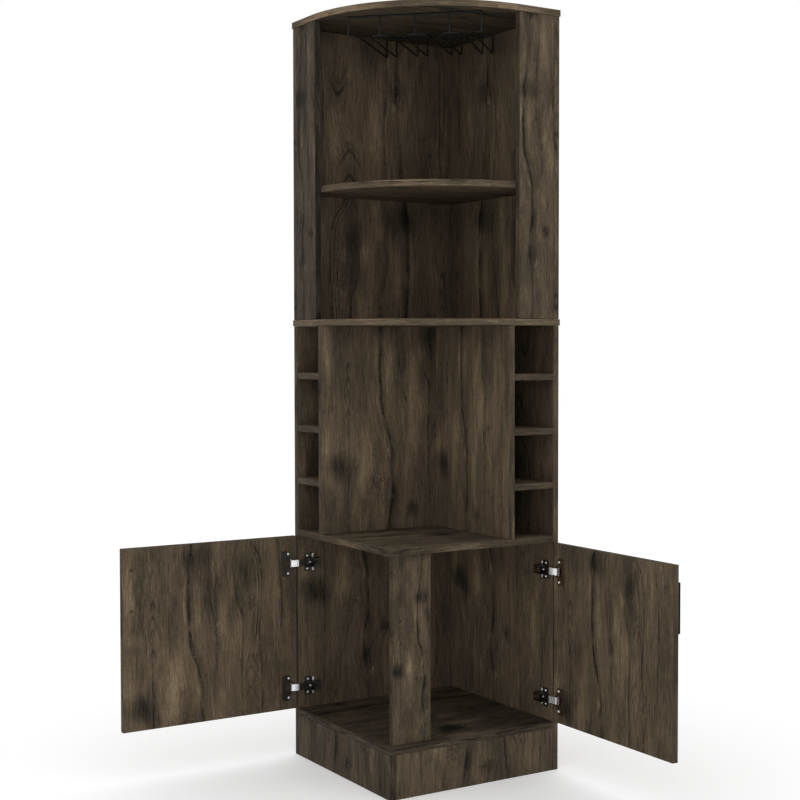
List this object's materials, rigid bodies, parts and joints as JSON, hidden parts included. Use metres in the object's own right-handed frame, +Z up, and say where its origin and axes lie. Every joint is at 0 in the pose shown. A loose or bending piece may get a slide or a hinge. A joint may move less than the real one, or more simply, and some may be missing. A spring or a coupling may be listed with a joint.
{
  "type": "bar cabinet",
  "caption": "Tall corner bar cabinet: cupboard base with inset doors, counter with bottle cubbies, and an open hutch with a hanging rack for stemmed glasses.",
  "frame": {"origin": "on the floor in the room's corner, where the outer faces of the two walls meet", "axes": "+Z up; -X along the left wall to its front edge and -Y along the right wall to its front edge, so the cabinet fills the -X -Y quarter and its rounded front faces -X -Y"},
  "size_m": [0.9341, 0.9146, 1.8],
  "materials": {
    "dark_oak_laminate": "matt dark brown oak-effect laminate with rustic grain",
    "black_metal": "satin black coating",
    "hinge_dark": "dark nickel plating",
    "hinge_bright": "bright nickel plating",
    "screw_steel": "zinc plated"
  },
  "bodies": {
    "cabinet": {"base_floor": "dark_oak_laminate", "counter": "dark_oak_laminate", "front_post": "dark_oak_laminate", "left_divider_1": "dark_oak_laminate", "left_divider_2": "dark_oak_laminate", "left_divider_3": "dark_oak_laminate", "left_lower_hinge_arm": "hinge_dark", "left_lower_hinge_plate": "hinge_dark", "left_partition": "dark_oak_laminate", "left_plinth": "dark_oak_laminate", "left_stile": "dark_oak_laminate", "left_upper_hinge_arm": "hinge_dark", "left_upper_hinge_plate": "hinge_dark", "lower_left_wall": "dark_oak_laminate", "lower_right_wall": "dark_oak_laminate", "middle_shelf": "dark_oak_laminate", "rack_front_bar": "black_metal", "rack_left_screw": "screw_steel", "rack_rear_bar": "black_metal", "rack_rear_screw": "screw_steel", "rack_right_screw": "screw_steel", "rack_runner_1": "black_metal", "rack_runner_2": "black_metal", "rack_runner_3": "black_metal", "rack_runner_4": "black_metal", "rack_runner_5": "black_metal", "right_divider_1": "dark_oak_laminate", "right_divider_2": "dark_oak_laminate", "right_divider_3": "dark_oak_laminate", "right_lower_hinge_arm": "hinge_dark", "right_lower_hinge_plate": "hinge_dark", "right_partition": "dark_oak_laminate", "right_plinth": "dark_oak_laminate", "right_stile": "dark_oak_laminate", "right_upper_hinge_arm": "hinge_dark", "right_upper_hinge_plate": "hinge_dark", "top_board": "dark_oak_laminate", "upper_left_wall": "dark_oak_laminate", "upper_right_wall": "dark_oak_laminate", "upper_shelf": "dark_oak_laminate"},
    "left_door_leaf": {"left_door": "dark_oak_laminate", "left_handle": "black_metal", "left_lower_handle_screw": "screw_steel", "left_lower_hinge_cup": "hinge_dark", "left_lower_hinge_pin": "screw_steel", "left_upper_handle_screw": "screw_steel", "left_upper_hinge_cup": "hinge_dark", "left_upper_hinge_pin": "screw_steel"},
    "right_door_leaf": {"right_door": "dark_oak_laminate", "right_handle": "black_metal", "right_lower_handle_screw": "screw_steel", "right_lower_hinge_cup": "hinge_dark", "right_lower_hinge_pin": "screw_steel", "right_upper_handle_screw": "screw_steel", "right_upper_hinge_cup": "hinge_dark", "right_upper_hinge_pin": "screw_steel"},
    "left_lower_link": {"left_lower_hinge_link": "hinge_bright"},
    "left_upper_link": {"left_upper_hinge_link": "hinge_bright"},
    "right_lower_link": {"right_lower_hinge_link": "hinge_bright"},
    "right_upper_link": {"right_upper_hinge_link": "hinge_bright"}
  },
  "joints": [
    {"name": "left_door_hinge", "type": "hinge", "parent": "cabinet", "child": "left_door_leaf", "pos_m": [-0.45875, -0.00675, 0.3315], "axis": [0, 0, 1], "range_deg": [-10, 90]},
    {"name": "right_door_hinge", "type": "hinge", "parent": "cabinet", "child": "right_door_leaf", "pos_m": [-0.00675, -0.45875, 0.3315], "axis": [0, 0, -1], "range_deg": [-10, 90]},
    {"name": "left_lower_link_hinge", "type": "hinge", "parent": "left_door_leaf", "child": "left_lower_link", "pos_m": [-0.482, -0.0125, 0.171], "axis": [0, 0, 1], "range_deg": [-61, 7]},
    {"name": "left_upper_link_hinge", "type": "hinge", "parent": "left_door_leaf", "child": "left_upper_link", "pos_m": [-0.482, -0.0125, 0.478], "axis": [0, 0, 1], "range_deg": [-61, 7]},
    {"name": "right_lower_link_hinge", "type": "hinge", "parent": "right_door_leaf", "child": "right_lower_link", "pos_m": [-0.0125, -0.482, 0.171], "axis": [0, 0, -1], "range_deg": [-61, 7]},
    {"name": "right_upper_link_hinge", "type": "hinge", "parent": "right_door_leaf", "child": "right_upper_link", "pos_m": [-0.0125, -0.482, 0.478], "axis": [0, 0, -1], "range_deg": [-61, 7]}
  ],
  "couplings": [
    {"joint": "left_lower_link_hinge", "follows": "left_door_hinge", "ratio": -0.672},
    {"joint": "left_upper_link_hinge", "follows": "left_door_hinge", "ratio": -0.672},
    {"joint": "right_lower_link_hinge", "follows": "right_door_hinge", "ratio": -0.672},
    {"joint": "right_upper_link_hinge", "follows": "right_door_hinge", "ratio": -0.672}
  ]
}
